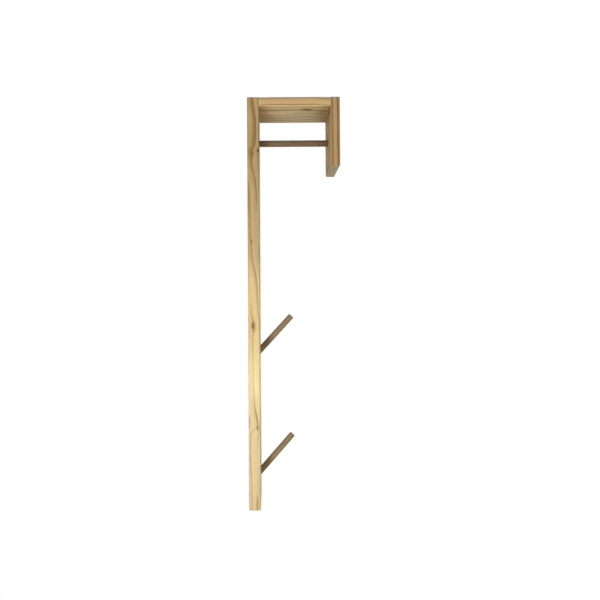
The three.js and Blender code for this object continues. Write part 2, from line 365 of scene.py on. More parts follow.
def towards(place, direction):
    """The matrix that puts a shape made along +Z at a place, pointing in a direction."""
    turn = Vector((0, 0, 1)).rotation_difference(Vector(direction).normalized())
    return Matrix.Translation(Vector(place)) @ turn.to_matrix().to_4x4()


def ring_of(bm, matrix, radii, height):
    """Vertices in a ring round the matrix's Z axis, at a height on it, one for each of the radii."""
    ring = []
    for i, radius in enumerate(radii):
        angle = 2 * math.pi * i / len(radii)
        place = Vector((radius * math.cos(angle), radius * math.sin(angle), height))
        ring.append(bm.verts.new(matrix @ place))
    return ring


def turned(name, outline, segments, matrix, wobble=None):
    """A turned solid. outline is (radius, height) points whose first and last radius is 0.
    wobble(height, angle) gives what is taken off the radius there."""
    bm = bmesh.new()
    rings = []
    for radius, height in outline:
        radii = [radius] * (segments if radius else 1)
        if radius and wobble:
            radii = [radius - wobble(height, 2 * math.pi * i / segments) for i in range(segments)]
        rings.append(ring_of(bm, matrix, radii, height))
    return skin(name, bm, rings)


def bore(place, direction, radius, depth):
    """A cutter for a blind hole that starts at a place on a face and runs in a direction."""
    outline = [(0, -CUT_OVERRUN), (radius, -CUT_OVERRUN), (radius, depth), (0, depth)]
    return turned("cutter", outline, BORE_SEGMENTS, towards(place, direction))


def upright_prism(name, outline, near, far):
    """A closed outline of (x, z) points, pushed along Y from near to far."""
    bm = bmesh.new()
    return skin(name, bm, [[bm.verts.new((x, y, z)) for x, z in outline] for y in (near, far)])


def carve(piece, cutters):
    """Takes the cutters out of a piece and removes them."""
    for cutter in cutters:
        modifier = piece.modifiers.new("carve", "BOOLEAN")
        modifier.operation = "DIFFERENCE"
        modifier.solver = "EXACT"
        modifier.object = cutter
    bpy.context.view_layer.update()
    shape = piece.evaluated_get(bpy.context.evaluated_depsgraph_get())
    carved = bpy.data.meshes.new_from_object(shape)
    piece.modifiers.clear()
    piece.data = carved
    mark_sharp(carved)
    for cutter in cutters:
        bpy.data.objects.remove(cutter)
    return piece


@dataclass
class Rod:
    """A round rod as the frame has it: its two ends, its direction and its radius."""

    start: Vector
    end: Vector
    direction: Vector
    radius: float


def rod_of(node):
    """The rod that a CAD node holds. It starts at the end next to the wall."""
    points = np.array([vertex.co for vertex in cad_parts[node].data.vertices])
    middle = (points.min(0) + points.max(0)) / 2
    axis = np.linalg.svd(points - middle, full_matrices=False)[2][0]
    axis = axis if axis[1] < 0 else -axis
    along = (points - middle) @ axis
    aside = points - middle - np.outer(along, axis)
    start, end = middle + axis * along.min(), middle + axis * along.max()
    radius = float(np.linalg.norm(aside, axis=1).max())
    return Rod(Vector(start), Vector(end), Vector(axis), radius)


# The pieces


def make_rod(node, tip_mm):
    """A turned rod with its ends eased, a little uneven along its length as sanded dowel is."""
    rod = rod_of(node)
    length = (rod.end - rod.start).length
    root, tip = ROD_ROOT_MM * MM, tip_mm * MM
    ease = [math.radians(angle) for angle in range(0, 91, 18)]
    outline = [(0, 0), (rod.radius - root, 0), (rod.radius - 0.3 * root, 0.3 * root)]
    count = round(length / (ROD_STEP_MM * MM))
    outline += [(rod.radius, root + (length - tip - root) * i / count) for i in range(count)]
    outline += [(rod.radius - tip + tip * math.cos(a), length - tip + tip * math.sin(a)) for a in ease]
    outline += [(rod.radius * 0.6, length), (0, length)]

    def wobble(height, angle):
        around = Vector((math.cos(angle), math.sin(angle), height / MM / ROD_WAVE_LENGTH_MM))
        return ROD_WAVE_MM * MM * (0.5 + 0.5 * noise.noise(around))

    return turned(node + "_rod", outline, ROD_SEGMENTS, towards(rod.start, rod.direction), wobble)


def socket(node, face):
    """The cutter for the socket that holds a rod's wall end, or its front end, below a face at that y."""
    rod = rod_of(node)
    into_wall = abs(rod.start.y - face) < abs(rod.end.y - face)
    end = rod.start if into_wall else rod.end
    direction = -rod.direction if into_wall else rod.direction
    mouth = rod.start + rod.direction * ((face - rod.start.y) / rod.direction.y)
    depth = (end - mouth).length + SOCKET_END_SPACE
    return bore(mouth, direction, rod.radius + SOCKET_CLEARANCE, depth)


def dowel_sockets(row, face, direction):
    """The cutters for the sockets of a row of dowel pins, below a face at that y."""
    cutters = []
    for place in ("left", "centre", "right"):
        low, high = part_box(f"{row}_dowel_{place}")
        depth = (low.y if direction < 0 else high.y) - face
        middle = Vector(((low.x + high.x) / 2, face, (low.z + high.z) / 2))
        radius = (high.z - low.z) / 2 + SOCKET_CLEARANCE
        cutters.append(bore(middle, (0, direction, 0), radius, abs(depth) + SOCKET_END_SPACE))
    return cutters


def plate_cutters(name):
    """The recess of a keyhole plate, the pocket for the wall screw's head and the holes of its screws."""
    low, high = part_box(f"{name}_hanger_plate")
    middle = (low + high) / 2
    grow = SOCKET_CLEARANCE
    corner = PLATE_CORNER_MM * MM
    recess = rounded_rectangle((low.x - grow, low.z - grow), (high.x + grow, high.z + grow), corner, 6)
    half = HEAD_POCKET_WIDTH_MM * MM / 2
    rise = KEYHOLE_TRAVEL_MM * MM / 2 + half * HEAD_POCKET_END_SHARE
    pocket = rounded_rectangle((-half, middle.z - rise), (half, middle.z + rise), half * 0.999, 12)
    cutters = [
        upright_prism("cutter", recess, low.y, CUT_OVERRUN),
        upright_prism("cutter", pocket, low.y - HEAD_POCKET_DEPTH_MM * MM, CUT_OVERRUN),
    ]
    for side in (-0.5, 0.5):
        place = (0, high.y, middle.z + side * SCREW_SPACING_MM * MM)
        cutters.append(turned("cutter", screw_hole(), SCREW_SEGMENTS, towards(place, (0, 1, 0))))
    return cutters


def screw_hole():
    """The outline of the hole for a countersunk screw whose head ends at 0, with its point downwards."""
    head = SCREW_HEAD_MM * MM / 2 + SOCKET_CLEARANCE
    shank = SCREW_THREAD_MM * MM / 2 + SOCKET_CLEARANCE / 2
    length = SCREW_LENGTH_MM * MM
    return [
        (0, -length - SOCKET_CLEARANCE),
        (shank, SCREW_POINT_MM * MM - length),
        (shank, -(SCREW_RIM_MM + SCREW_TAPER_MM) * MM),
        (head, -SCREW_RIM_MM * MM),
        (head, CUT_OVERRUN),
        (0, CUT_OVERRUN),
    ]


def thread_radius_mm(below_head, height, length, turn_share):
    """The radius of a screw's cut thread at a height under its face, a share of a turn round it."""
    turn = (-height / SCREW_PITCH_MM + turn_share) % 1
    tooth = max(0.0, 1 - abs(turn - 0.5) / THREAD_TOOTH_SHARE)
    start = min(1.0, max(0.0, below_head / THREAD_START_MM))
    taper = min(1.0, (length + height) / SCREW_POINT_MM)
    return (SCREW_ROOT_MM + (SCREW_THREAD_MM - SCREW_ROOT_MM) * tooth * start) / 2 * taper + SCREW_TIP_MM


def make_screw(name):
    """A countersunk wood screw with a cross recess and a cut thread."""
    low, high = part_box(name)
    middle = (low + high) / 2
    length = (high.y - low.y) / MM
    head, head_end = SCREW_HEAD_MM / 2, SCREW_RIM_MM + SCREW_TAPER_MM
    matrix = towards((middle.x, high.y, middle.z), (0, 1, 0))
    bm = bmesh.new()
    rings = []
    for radius, height in ((head - 0.35, 0), (head - 0.08, -0.1), (head, -SCREW_RIM_MM)):
        rings.append(ring_of(bm, matrix, [radius * MM] * SCREW_SEGMENTS, height * MM))
    for row in range(SCREW_ROWS):
        below_head = (length - head_end - SCREW_TIP_GAP_MM) * row / (SCREW_ROWS - 1)
        height = -head_end - below_head
        shares = [i / SCREW_SEGMENTS for i in range(SCREW_SEGMENTS)]
        radii = [thread_radius_mm(below_head, height, length, share) * MM for share in shares]
        rings.append(ring_of(bm, matrix, radii, height * MM))
    screw = skin(name + "_turned", bm, rings)
    cutters = []
    for width, span in ((CROSS_WIDTH_MM, CROSS_SPAN_MM), (CROSS_SPAN_MM, CROSS_WIDTH_MM)):
        cutters.append(cross_arm(middle.x, high.y, middle.z, width / 2, span / 2))
    return carve(screw, cutters)


def cross_arm(x, top, z, half_x, half_z):
    """One arm of a cross recess, narrower at its floor than at the face."""
    bm = bmesh.new()
    rings = []
    for height, share in ((0.5, 1.0), (0.0, 1.0), (-CROSS_DEPTH_MM, CROSS_FLOOR_SHARE)):
        across, along = half_x * MM * share, half_z * MM * share
        corners = [(-across, -along), (across, -along), (across, along), (-across, along)]
        rings.append([bm.verts.new((x + u, top + height * MM, z + v)) for u, v in corners])
    return skin("cutter", bm, rings)


# Node graphs


class Graph:
    """Short calls for the node tree of a material or a world."""

    def __init__(self, owner):
        owner.use_nodes = True
        self.owner = owner
        self.tree = owner.node_tree
        self.tree.nodes.clear()

    def node(self, kind, **settings):
        made = self.tree.nodes.new("ShaderNode" + kind)
        for name, value in settings.items():
            setattr(made, name, value)
        return made

    def feed(self, socket_in, value):
        if isinstance(value, bpy.types.NodeSocket):
            self.tree.links.new(value, socket_in)
        else:
            socket_in.default_value = value

    def fill(self, made, values):
        """Feeds a node's inputs by their names."""
        for name, value in values.items():
            self.feed(made.inputs[name], value)

    def made(self, kind, values, **settings):
        """A node with these values on its first inputs."""
        made = self.node(kind, **settings)
        for socket_in, value in zip(made.inputs, values):
            self.feed(socket_in, value)
        return made

    def math(self, operation, *values, clamp=False):
        return self.made("Math", values, operation=operation, use_clamp=clamp).outputs[0]

    def add(self, a, b):
        return self.math("ADD", a, b)

    def minus(self, a, b):
        return self.math("SUBTRACT", a, b)

    def times(self, a, b):
        return self.math("MULTIPLY", a, b)

    def least(self, a, b):
        return self.math("MINIMUM", a, b)

    def most(self, a, b):
        return self.math("MAXIMUM", a, b)

    def vector(self, operation, *values):
        result = "Value" if operation in ("DOT_PRODUCT", "LENGTH") else "Vector"
        return self.made("VectorMath", values, operation=operation).outputs[result]

    def scaled(self, vector, scale):
        made = self.made("VectorMath", (vector,), operation="SCALE")
        self.feed(made.inputs["Scale"], scale)
        return made.outputs["Vector"]

    def split(self, vector):
        return tuple(self.made("SeparateXYZ", (vector,)).outputs)

    def join(self, x, y, z):
        return self.made("CombineXYZ", (x, y, z)).outputs[0]

    def span(self, value, low, high, to_low=0.0, to_high=1.0, kind="SMOOTHSTEP"):
        """value from low to high becomes to_low to to_high, and stays there beyond them."""
        return self.made("MapRange", (value, low, high, to_low, to_high), interpolation_type=kind).outputs[0]

    def line(self, value, low, high, to_low=0.0, to_high=1.0):
        """As span, but in a straight line."""
        return self.span(value, low, high, to_low, to_high, kind="LINEAR")

    def bell(self, distance, width):
        """1 at distance 0, falling softly to 0 a few widths away."""
        share = self.times(distance, 1 / width)
        return self.math("EXPONENT", self.times(self.times(share, share), -1.0))

    def noise(self, place, detail=2.0, rough=0.5, colour=False, seed=0.0):
        made = self.node("TexNoise", noise_dimensions="4D")
        self.fill(made, {"Vector": place, "W": seed, "Scale": 1.0, "Detail": detail, "Roughness": rough})
        return made.outputs["Color" if colour else "Fac"]

    def ramp(self, value, stops, kind="LINEAR"):
        """A colour or grey ramp through (place, colour or number) stops."""
        made = self.made("ValToRGB", (value,))
        made.color_ramp.interpolation = kind
        elements = made.color_ramp.elements
        elements.remove(elements[-1])
        for index, (place, colour) in enumerate(stops):
            element = elements.new(place) if index else elements[0]
            element.position = place
            element.color = colour if isinstance(colour, tuple) else (colour, colour, colour, 1)
        return made.outputs[0]

    def curve(self, value, points):
        """A smooth curve through (value, result) points, which must rise in value."""
        first, last = points[0][0], points[-1][0]
        results = [result for _, result in points]
        low, high = min(results) - 1, max(results) + 1
        spots = [((at - first) / (last - first), (result - low) / (high - low)) for at, result in points]
        made = self.node("FloatCurve")
        drawn = made.mapping.curves[0].points
        drawn[0].location, drawn[-1].location = spots[0], spots[-1]
        for spot in spots[1:-1]:
            drawn.new(*spot)
        made.mapping.update()
        self.feed(made.inputs["Value"], self.line(value, first, last))
        return self.line(made.outputs[0], 0.0, 1.0, low, high)

    def mix(self, share, a, b, blend="MIX"):
        made = self.node("Mix", data_type="RGBA", blend_type=blend)
        for index, value in ((0, share), (6, a), (7, b)):
            self.feed(made.inputs[index], value)
        return made.outputs[2]

    def tint(self, colour, tint):
        return self.mix(1.0, colour, tint, "MULTIPLY")

    def shade(self, colour, share):
        """colour times a grey share."""
        return self.scaled(colour[:3] if isinstance(colour, tuple) else colour, share)

    def place_mm(self):
        """Where a point is in the frame, in millimetres."""
        return self.scaled(self.node("TexCoord").outputs["Object"], 1 / MM)

    def facing(self, axis):
        """How squarely a face points along an axis: 1 along it, -1 against it."""
        return self.vector("DOT_PRODUCT", self.node("NewGeometry").outputs["True Normal"], tuple(axis))

    def glow(self, kind, strength):
        """A white background or emission of a strength."""
        return self.made(kind, (WHITE, strength)).outputs[0]

    def mix_shaders(self, share, a, b):
        return self.made("MixShader", (share, a, b)).outputs[0]


class Surface(Graph):
    """The graph of a new material, round its principled shader."""

    def __init__(self, name):
        super().__init__(bpy.data.materials.new(name))
        self.shader = self.node("BsdfPrincipled")
        self.output = self.made("OutputMaterial", (self.shader.outputs[0],))

    def finish(self, colour, rough, height, specular):
        """height is in metres, as the bump of a real surface."""
        bump = self.node("Bump")
        self.fill(bump, {"Strength": 1.0, "Distance": 1.0, "Height": height})
        self.fill(self.shader, {"Base Color": colour, "Roughness": rough, "Specular IOR Level": specular})
        self.feed(self.shader.inputs["Normal"], bump.outputs[0])
        return self.owner


# Materials


@dataclass
class Knot:
    """A branch in a board. (a, b, s) is where it meets the seen face, in millimetres.
    push is how far it pushes the rings outwards, and slant leans its mouth across the grain.
    seen is how much of it shows: a buried knot only bends the rings over it. halo is how brown the wood
    round it is, or below 0, how far the late wood there has paled."""

    a: float
    b: float
    s: float
    radius: float
    stretch: float
    dark: float
    push: float
    slant: float = 0.0
    halo: float = 0.6
    soft: float = 0.15
    seen: float = 1.0


@dataclass
class Cut:
    """How a board was sawn from its tree. a runs across the board's width, b through its thickness and
    s along its grain, and axes says which of x, y and z each of them is. wander lists the (s, shift) by
    which the rings grow wider along the board's near edge, and drift the same for the rest of it.
    bare_and_shaded_side is -1 or 1 where the face at the low or high end of b has no oil but a little that
    crept over its near edge. That face is paler and cooler, partly as unoiled wood and partly as painted
    light in its shade, and painted shade darkens it away from its near edge and at the corners, the places
    along s where another board meets it. arris is the colour of the arrises, and arris_share how strongly
    it shows at the low and at the high end of b: a dark arris is handling dirt, which on the wall board's
    front is also painted shade, and a pale one is a painted highlight. heart is the tone of the knots. ends
    are the tones of the end grain, early and late wood, at the low and at the high end of s."""

    axes: str
    pith: tuple
    spacing: float
    first_ring: float
    wander: list
    drift: list
    seed: float
    false_rings: float
    calm_edge: float = 0.06
    arris: tuple = rgb(112, 88, 54)
    arris_share: tuple = (0.34, 0.34)
    bare_and_shaded_side: int = 0
    corners: tuple = ()
    heart: tuple = KNOT_TONE
    ends: tuple = (WARM_END_GRAIN, WARM_END_GRAIN)


def knot_field(g, place, knot, pith):
    """The distance from a knot's axis in knot radii, 1 at its bark."""
    centre = Vector((knot.a, knot.b, knot.s))
    outwards = Vector((knot.a - pith[0], knot.b - pith[1], 0)).normalized()
    outwards = (outwards + Vector((0, 0, 0.12))).normalized()
    aside = outwards.cross(Vector((0, 0, 1))).normalized()
    along = aside.cross(outwards).normalized()
    aside = aside + knot.slant * along
    offset = g.vector("SUBTRACT", place, tuple(centre))
    u = g.vector("DOT_PRODUCT", offset, tuple(aside / knot.radius))
    v = g.vector("DOT_PRODUCT", offset, tuple(along / (knot.radius * knot.stretch)))
    return g.vector("LENGTH", g.join(u, v, 0.0))


class Pine:
    """Oiled pine as solid wood, worked out one feature at a time for any point (a, b, s) of a board.
    tones lists, along the board, (s, colour of the early wood, colour of the late wood, share of a ring
    that is late wood)."""

    def __init__(self, name, board, cut, knots, tones):
        g = Surface(name)
        self.g, self.cut = g, cut
        low, high = box_mm(board)
        order = ["xyz".index(axis) for axis in cut.axes]
        self.low, self.high = [low[i] for i in order], [high[i] for i in order]
        places = g.split(g.place_mm())
        self.a, self.b, self.s = (places[i] for i in order)
        self.raw = g.join(self.a, self.b, self.s)
        self.find_warp()
        self.find_knots(knots)
        self.find_tones(tones)
        self.find_late_wood()
        self.find_fibres()
        self.find_edges()

    def grain(self, name, base=None, colour=False):
        """One kind of unevenness, in this board's own course."""
        waves, seed, detail, rough = GRAIN[name]
        place = self.g.vector("MULTIPLY", base or self.raw, waves)
        return self.g.noise(place, detail, rough, colour, self.cut.seed + seed)

    def find_warp(self):
        """The tree's own unevenness, held back next to the edge that the grain is placed on."""
        g = self.g
        self.away = g.span(self.a, self.low[0], self.low[0] + INLAND_MM, self.cut.calm_edge, 1.0)
        warps = [self.grain(name, colour=True) for name in ("slow", "fine")]
        slow, self.fine = [g.vector("SUBTRACT", warp, (0.5, 0.5, 0.5)) for warp in warps]
        slow = g.scaled(slow, g.times(self.away, SLOW_WARP_MM))
        warp = g.vector("ADD", slow, g.scaled(self.fine, FINE_WARP_MM))
        self.place = g.vector("ADD", self.raw, g.vector("MULTIPLY", warp, (1, 1, 0)))

    def find_knots(self, knots):
        """How far the knots push the rings, and how much of a knot, its rim and its halo is at a point."""
        g = self.g
        place = g.vector("ADD", self.raw, g.scaled(self.fine, KNOT_WARP_MM))
        self.push, self.halo, self.body, self.dark, self.from_heart, self.rim = [0.0] * 6
        for knot in knots:
            distance = knot_field(g, place, knot, self.cut.pith)
            inside = g.span(distance, 1 + knot.soft, 1 - knot.soft, 0.0, knot.seen)
            self.push = g.add(self.push, g.times(g.bell(distance, 2.4), knot.push))
            self.halo = g.add(self.halo, g.times(g.bell(distance, 2.0), knot.halo))
            self.body = g.most(self.body, inside)
            self.dark = g.add(self.dark, g.times(inside, knot.dark))
            self.from_heart = g.add(self.from_heart, g.times(inside, g.times(distance, knot.radius)))
            edge = g.bell(g.minus(distance, 1.0), 0.1 + knot.soft)
            strength = min(1.0, 0.2 + knot.dark) * (1 - knot.soft) * knot.seen
            self.rim = g.add(self.rim, g.times(edge, strength))

    def find_tones(self, tones):
        """Where a point is along the board's list of tones."""
        places, self.early_tones, self.late_tones, self.late_shares = zip(*tones)
        self.tones_length = places[-1] - places[0]
        self.stops = [(place - places[0]) / self.tones_length for place in places]
        self.along = self.g.line(self.g.split(self.place)[2], places[0], places[-1])

    def find_late_wood(self):
        """How far across its year's ring a point is, and how much late wood is there."""
        g, cut = self.g, self.cut
        a, b, s = g.split(self.place)
        radius = g.vector("LENGTH", g.join(g.minus(a, cut.pith[0]), g.minus(b, cut.pith[1]), 0.0))
        near, rest = g.curve(s, cut.wander), g.curve(s, cut.drift)
        inland = g.span(self.a, self.low[0] + 3, self.low[0] + INLAND_MM)
        shift = g.add(near, g.times(inland, g.minus(rest, near)))
        grown = g.minus(g.minus(g.minus(radius, shift), self.push), cut.first_ring)
        rings = g.add(g.times(grown, 1 / cut.spacing), LATE_WOOD_PLACE)
        self.within = g.math("FRACT", rings)

        share = g.ramp(self.along, zip(self.stops, self.late_shares))
        starts = g.minus(LATE_WOOD_PLACE, g.times(share, 1.3))
        full = g.minus(LATE_WOOD_PLACE, g.times(share, 0.5))
        ending = g.span(self.within, LATE_WOOD_END, 1.0, 1.0, 0.05)
        late = g.times(g.span(self.within, starts, full, 0.05, 1.0), ending)

        # Some years are stronger than others, and a ring is made of fine lines
        year = g.add(g.math("FLOOR", rings), cut.seed + 0.37)
        chance = g.node("TexWhiteNoise", noise_dimensions="1D")
        g.feed(chance.inputs["W"], year)
        late = g.times(late, g.line(chance.outputs[0], 0.0, 1.0, 0.6, 1.0))
        line_place = g.join(g.times(grown, 0.7), g.times(self.s, 1 / 140), 0.0)
        lines = g.noise(line_place, detail=3, rough=0.65, seed=cut.seed + 5)
        late = g.times(late, g.line(lines, 0.3, 0.7, 0.70, 1.12))

        # False rings stand between the years, and late wood is pale next to some buried knots
        false_place = g.join(g.times(rings, cut.false_rings), 0.0, g.times(self.s, 1 / 400))
        false_late = g.span(g.noise(false_place, detail=2.5, seed=cut.seed), 0.48, 0.72)
        late = g.math("MAXIMUM", late, g.times(false_late, 0.42), clamp=True)
        self.late = g.times(late, g.span(self.halo, -0.8, -0.1, 0.1, 1.0))

    def find_fibres(self):
        """Fibres and streaks, which bend round the knots, resin canals, slow clouds and cut cells."""
        g = self.g
        base = g.vector("ADD", self.raw, g.scaled(g.join(1.0, 1.0, 0.0), self.push))
        self.fibre, self.streak, canal = [self.grain(name, base) for name in ("fibre", "streak", "canal")]
        self.canal = g.span(canal, 0.66, 0.74)
        self.cloud, self.cells = self.grain("cloud"), self.grain("cells")

    def find_edges(self):
        """The faces across the grain, and the arrises, where two of the three distances to the board's
        faces are small."""
        g = self.g
        self.end_grain = g.span(g.math("ABSOLUTE", g.facing(AXES[self.cut.axes[2]])), 0.55, 0.92)
        self.open_cells = g.times(self.cells, self.end_grain)
        inset = []
        for place, low, high in zip((self.a, self.b, self.s), self.low, self.high):
            from_middle = g.math("ABSOLUTE", g.minus(place, (low + high) / 2))
            inset.append(g.minus((high - low) / 2, from_middle))
        least = g.least(g.least(inset[0], inset[1]), inset[2])
        most = g.most(g.most(inset[0], inset[1]), inset[2])
        total = g.add(g.add(inset[0], inset[1]), inset[2])
        second = g.minus(g.minus(total, least), most)
        self.arris = g.span(g.add(second, g.times(g.split(self.fine)[0], ARRIS_WARP_MM)), 2.1, 0.2)
        self.arris_tone = self.cut.arris

    def wood_colour(self):
        """The early and late wood, with its streaks, fibres, clouds and canals."""
        g = self.g
        shift = g.times(g.times(g.minus(self.streak, 0.5), self.away), STREAK_SHIFT_MM / self.tones_length)
        moved = g.add(self.along, shift)
        early = g.ramp(moved, zip(self.stops, self.early_tones), "EASE")
        deep = g.ramp(moved, zip(self.stops, self.late_tones), "EASE")
        colour = g.mix(self.late, early, deep)
        colour = g.shade(colour, g.line(self.within, 0.02, 0.5, 1.05, 0.98))
        colour = g.shade(colour, g.line(self.streak, 0.3, 0.7, 0.93, 1.06))
        colour = g.shade(colour, g.line(self.fibre, 0.25, 0.75, 0.92, 1.06))
        colour = g.tint(colour, g.mix(g.span(self.cloud, 0.35, 0.7), WHITE, CLOUD_TINT))
        return g.mix(g.times(self.canal, 0.30), colour, CANAL_TONE)

    def with_knots(self, colour):
        """The colour with the knots' halos, their ringed hearts and their rims."""
        g = self.g
        colour = g.mix(g.least(g.times(self.halo, 0.8), 0.75), colour, HALO_TONE)
        rings = g.line(g.math("SINE", g.times(self.from_heart, 6.5)), -1, 1, 0.80, 1.10)
        heart = g.shade(g.mix(self.dark, self.cut.heart, DEAD_KNOT_TONE), rings)
        colour = g.mix(g.times(self.body, 0.92), colour, heart)
        return g.mix(g.least(self.rim, 0.85), colour, KNOT_RIM_TONE)

    def with_end_grain(self, colour):
        """The colour with the faces across the grain, where the cells are cut open."""
        g = self.g
        high_end = g.math("GREATER_THAN", self.along, 0.5)
        early, deep = (g.mix(high_end, low, high) for low, high in zip(*self.cut.ends))
        cut_face = g.mix(0.25, g.mix(g.times(self.late, 0.55), early, deep), colour)
        cut_face = g.shade(cut_face, g.line(self.cells, 0.3, 0.7, 0.86, 1.10))
        return g.mix(self.end_grain, colour, cut_face)

    def with_bare_and_shaded_face(self, colour):
        """The colour with one face that has no oil but a little that crept over its near edge. It is paler
        and cooler, partly as unoiled wood and partly as painted light in its shade, and painted shade
        darkens it within reach of its corners and away from its near edge. Its arrises carry a painted
        highlight, and end at the painted corner shade."""
        g, cut, low, high = self.g, self.cut, self.low, self.high
        bare_and_shaded_side = g.span(g.facing(AXES[cut.axes[1]] * cut.bare_and_shaded_side), 0.5, 0.9)
        from_edge = g.add(self.a, g.times(g.minus(self.streak, 0.5), 40.0))
        bare_and_light_share = g.span(from_edge, low[0], low[0] + 55, 0.25, 1.0)
        # Paler and cooler: partly unoiled wood and partly painted light in the shade of this face
        tinted = g.mix(bare_and_light_share, colour, g.tint(colour, BARE_AND_PAINTED_LIGHT_TINT))
        # Painted shade within reach of each corner where another board meets this one
        corner_shade = 0.0
        for corner in cut.corners:
            corner_shade = g.add(corner_shade, g.bell(g.minus(self.s, corner), CORNER_REACH_MM))
        tinted = g.mix(corner_shade, tinted, g.tint(tinted, PAINTED_CORNER_SHADE))
        # Painted shade on the far side, away from the near edge
        tinted = g.tint(tinted, g.mix(g.span(self.a, low[0] + 50, low[0] + 115), WHITE, PAINTED_FAR_SHADE))
        # The arrises stop at the painted corner shade, and next to this face they carry a painted highlight
        self.arris = g.times(self.arris, g.minus(1.0, g.times(bare_and_shaded_side, g.least(corner_shade, 1.0))))
        from_shaded_side = g.minus(self.b, low[1]) if cut.bare_and_shaded_side < 0 else g.minus(high[1], self.b)
        self.arris_tone = g.mix(g.span(from_shaded_side, 0.6, 1.6), PAINTED_ARRIS_HIGHLIGHT, cut.arris)
        return g.mix(bare_and_shaded_side, colour, tinted)

    def with_arrises(self, colour):
        """The colour with the arrises, coloured in patches: dark ones by handling dirt, which on the wall
        board's front is also painted shade, and pale ones by a painted highlight.
        """
        g = self.g
        middle = (self.low[1] + self.high[1]) / 2
        arris_strength = g.span(self.b, middle - 4, middle + 4, *self.cut.arris_share)
        arris_strength = g.times(arris_strength, g.span(self.grain("patch"), 0.35, 0.62, 0.62, 1.04))
        return g.mix(g.times(self.arris, arris_strength), colour, self.arris_tone)

    def material(self):
        """The finished material: late wood a little proud and smoother, fibres and canals sunk."""
        g = self.g
        colour = self.with_end_grain(self.with_knots(self.wood_colour()))
        if self.cut.bare_and_shaded_side:
            colour = self.with_bare_and_shaded_face(colour)
        colour = self.with_arrises(colour)
        rough = g.add(g.line(self.late, 0, 1, 0.74, 0.66), g.times(self.end_grain, 0.16))
        rough = g.add(rough, g.times(g.minus(self.fibre, 0.5), 0.14))
        height = 0.0
        for feature, relief_mm in RELIEF_MM.items():
            height = g.add(height, g.times(getattr(self, feature), relief_mm * MM))
        return g.finish(colour, rough, height, 0.12)


def walnut_material(name, rod, light, deep, end_shade, seed):
    """Oiled walnut round a rod's own axis: bands, streaks, open pores as short dashes, and end grain.
    end_shade lists the (share of the length, tint) of the painted shade that darkens it next to the boards."""
    g = Surface(name)
    place = g.place_mm()
    axis = tuple(rod.direction)
    along = g.vector("DOT_PRODUCT", place, axis)

    def grain(across, lengthways, offset, **settings):
        """Noise with so many waves to a millimetre across the rod and along it."""
        squeeze = g.scaled(axis, g.times(along, lengthways / across - 1))
        moved = g.scaled(g.vector("ADD", place, squeeze), across)
        return g.noise(moved, seed=seed + offset, **settings)

    slow = g.minus(grain(1 / 14, 1 / 120, 0, detail=2), 0.5)
    side = rod.direction.cross(Vector((0.35, 0.9, 0.2))).normalized()
    layer = g.add(g.vector("DOT_PRODUCT", place, tuple(side)), g.times(slow, WALNUT_WANDER_MM))
    within = g.math("FRACT", g.times(layer, 1 / WALNUT_BAND_MM))
    band = g.ramp(within, [(0.0, 0.1), (0.55, 0.25), (0.9, 1.0), (1.0, 0.1)])
    streak = grain(0.9, 0.012, 2, detail=3, rough=0.6)
    fibre = grain(3.2, 0.05, 4, detail=2, rough=0.6)
    pore = g.span(grain(2.4, 0.07, 6, detail=1), 0.62, 0.72)
    cloud = grain(1 / 20, 1 / 60, 8, detail=2)
    end_grain = g.span(g.math("ABSOLUTE", g.facing(axis)), 0.6, 0.95)
    cells = g.noise(g.scaled(place, 2.8), detail=3, rough=0.7, seed=seed + 10)

    colour = g.mix(g.times(band, 0.55), light, deep)
    colour = g.mix(g.span(streak, 0.42, 0.68, 0.0, 0.65), colour, deep)
    colour = g.shade(colour, g.line(fibre, 0.25, 0.75, 0.93, 1.06))
    colour = g.shade(colour, g.line(cloud, 0.3, 0.7, 0.92, 1.07))
    start, end = (rod_end.dot(rod.direction) / MM for rod_end in (rod.start, rod.end))
    length_share = g.line(g.add(along, g.times(slow, 16.0)), start, end)
    # Painted shade: the tint darkens the rod where it meets the boards
    colour = g.tint(colour, g.ramp(length_share, end_shade, "EASE"))
    colour = g.mix(g.times(pore, 0.24), colour, PORE_TONE)
    cut_face = g.shade(g.mix(0.55, colour, deep), g.line(cells, 0.3, 0.7, 0.75, 1.1))
    colour = g.mix(end_grain, colour, cut_face)

    rough = g.add(g.line(band, 0, 1, 0.60, 0.54), g.times(end_grain, 0.20))
    rough = g.add(rough, g.times(pore, 0.10))
    height = g.minus(g.times(fibre, 0.006 * MM), g.times(pore, 0.010 * MM))
    height = g.add(height, g.times(g.times(cells, end_grain), 0.03 * MM))
    return g.finish(colour, rough, height, 0.3)


def beech_material():
    """Raw beech dowel pin: pale pinkish wood with fine dark flecks along it."""
    g = Surface("beech dowel pin")
    place = g.place_mm()
    fibre = g.noise(g.vector("MULTIPLY", place, (2.2, 0.08, 2.2)), detail=3, seed=1.0)
    fleck = g.span(g.noise(g.vector("MULTIPLY", place, (2.6, 0.5, 2.6)), detail=1, seed=2.0), 0.62, 0.70)
    cells = g.noise(g.scaled(place, 2.5), detail=3, seed=3.0)
    end_grain = g.span(g.math("ABSOLUTE", g.facing(AXES["y"])), 0.6, 0.95)
    colour = g.shade(BEECH_TONE, g.line(fibre, 0.25, 0.75, 0.90, 1.07))
    colour = g.mix(g.times(fleck, 0.45), colour, BEECH_FLECK_TONE)
    colour = g.mix(g.times(end_grain, 0.6), colour, g.shade(BEECH_END_TONE, g.add(cells, 0.5)))
    height = g.minus(g.times(fibre, 0.02 * MM), g.times(fleck, 0.04 * MM))
    return g.finish(colour, g.add(0.58, g.times(fibre, 0.12)), height, 0.35)


